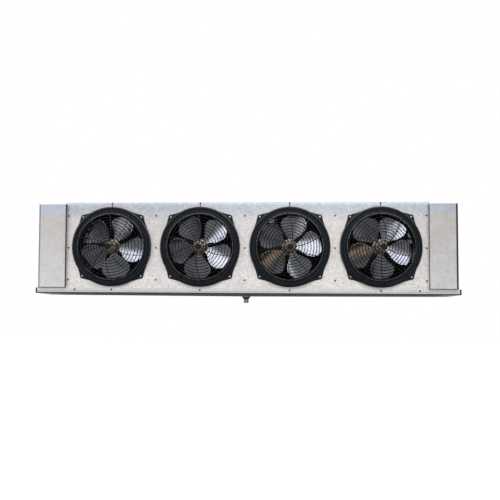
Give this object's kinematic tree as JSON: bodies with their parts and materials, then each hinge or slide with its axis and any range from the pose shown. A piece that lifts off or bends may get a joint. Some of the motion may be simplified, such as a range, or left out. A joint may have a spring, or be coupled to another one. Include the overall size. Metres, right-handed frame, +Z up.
{
  "type": "walk-in unit cooler",
  "caption": "Ceiling-hung unit cooler for a walk-in cold room: fans in moulded rings with wire guards, finned coil behind, hinged end covers and drain pan.",
  "frame": {"origin": "centre of the hanger hole pattern, in the upper face of the top panel", "axes": "+X along the unit to the right as seen from the fans, +Y towards the coil at the back, +Z up towards the ceiling"},
  "size_m": [2.676, 0.5562, 0.651],
  "materials": {
    "galvanised": "galvanised sheet, soft mottled spangle",
    "cover_sheet": "mill finish sheet with faint rolling lines",
    "pan_sheet": "galvanised sheet, a little duller",
    "aluminium_fin": "thin rolled fin stock, dull",
    "copper": "drawn copper tube, lightly tarnished",
    "brass": "turned brass",
    "rubber": "moulded rubber",
    "black_ring": "moulded, satin black",
    "black_wire": "black dip-coated steel wire",
    "fan_aluminium": "pressed bright aluminium sheet",
    "motor_paint": "black enamel on cast shell",
    "steel": "zinc plated steel"
  },
  "bodies": {
    "cabinet": {"front_panel": "galvanised", "top_panel": "galvanised", "right_end_plate": "galvanised", "left_end_plate": "galvanised", "bay_divider_1": "galvanised", "bay_divider_2": "galvanised", "bay_divider_3": "galvanised", "right_hanger_rail": "galvanised", "left_hanger_rail": "galvanised", "upper_coil_rail": "galvanised", "lower_coil_rail": "galvanised", "right_rear_plate": "galvanised", "left_rear_plate": "galvanised", "junction_box": "galvanised", "junction_box_lid": "galvanised", "coil_fins": "aluminium_fin", "coil_tubes": "copper", "return_bends": "copper", "suction_header": "copper", "feeder_tubes": "copper", "liquid_distributor": "brass", "line_grommets": "rubber", "fan_1_ring": "black_ring", "fan_1_guard": "black_wire", "fan_1_motor": "motor_paint", "fan_1_motor_bar": "galvanised", "fan_2_ring": "black_ring", "fan_2_guard": "black_wire", "fan_2_motor": "motor_paint", "fan_2_motor_bar": "galvanised", "fan_3_ring": "black_ring", "fan_3_guard": "black_wire", "fan_3_motor": "motor_paint", "fan_3_motor_bar": "galvanised", "fan_4_ring": "black_ring", "fan_4_guard": "black_wire", "fan_4_motor": "motor_paint", "fan_4_motor_bar": "galvanised", "right_cover_hinges": "steel", "left_cover_hinges": "steel", "pan_hinges": "steel", "panel_screws": "steel", "lip_screws": "steel", "ear_screws": "steel"},
    "right_cover": {"right_cover": "cover_sheet", "right_cover_leaves": "steel"},
    "left_cover": {"left_cover": "cover_sheet", "left_cover_leaves": "steel"},
    "drain_pan": {"drain_pan": "pan_sheet", "drain_fitting": "steel", "pan_leaves": "steel", "pan_screws": "steel"},
    "fan_1": {"fan_1_wheel": "fan_aluminium", "fan_1_shaft": "steel"},
    "fan_2": {"fan_2_wheel": "fan_aluminium", "fan_2_shaft": "steel"},
    "fan_3": {"fan_3_wheel": "fan_aluminium", "fan_3_shaft": "steel"},
    "fan_4": {"fan_4_wheel": "fan_aluminium", "fan_4_shaft": "steel"}
  },
  "joints": [
    {"name": "fan_1_spin", "type": "hinge", "parent": "cabinet", "child": "fan_1", "pos_m": [-0.8475, -0.2, -0.281], "axis": [0, -1, 0], "continuous": true},
    {"name": "fan_2_spin", "type": "hinge", "parent": "cabinet", "child": "fan_2", "pos_m": [-0.2825, -0.2, -0.281], "axis": [0, -1, 0], "continuous": true},
    {"name": "fan_3_spin", "type": "hinge", "parent": "cabinet", "child": "fan_3", "pos_m": [0.2825, -0.2, -0.281], "axis": [0, -1, 0], "continuous": true},
    {"name": "fan_4_spin", "type": "hinge", "parent": "cabinet", "child": "fan_4", "pos_m": [0.8475, -0.2, -0.281], "axis": [0, -1, 0], "continuous": true},
    {"name": "right_cover_swing", "type": "hinge", "parent": "cabinet", "child": "right_cover", "pos_m": [1.323, 0.225, -0.27], "axis": [0, 0, 1], "range_deg": [0, 110]},
    {"name": "left_cover_swing", "type": "hinge", "parent": "cabinet", "child": "left_cover", "pos_m": [-1.323, 0.225, -0.27], "axis": [0, 0, -1], "range_deg": [0, 110]},
    {"name": "drain_pan_drop", "type": "hinge", "parent": "cabinet", "child": "drain_pan", "pos_m": [0, 0.231, -0.54], "axis": [1, 0, 0], "range_deg": [0, 75]}
  ]
}
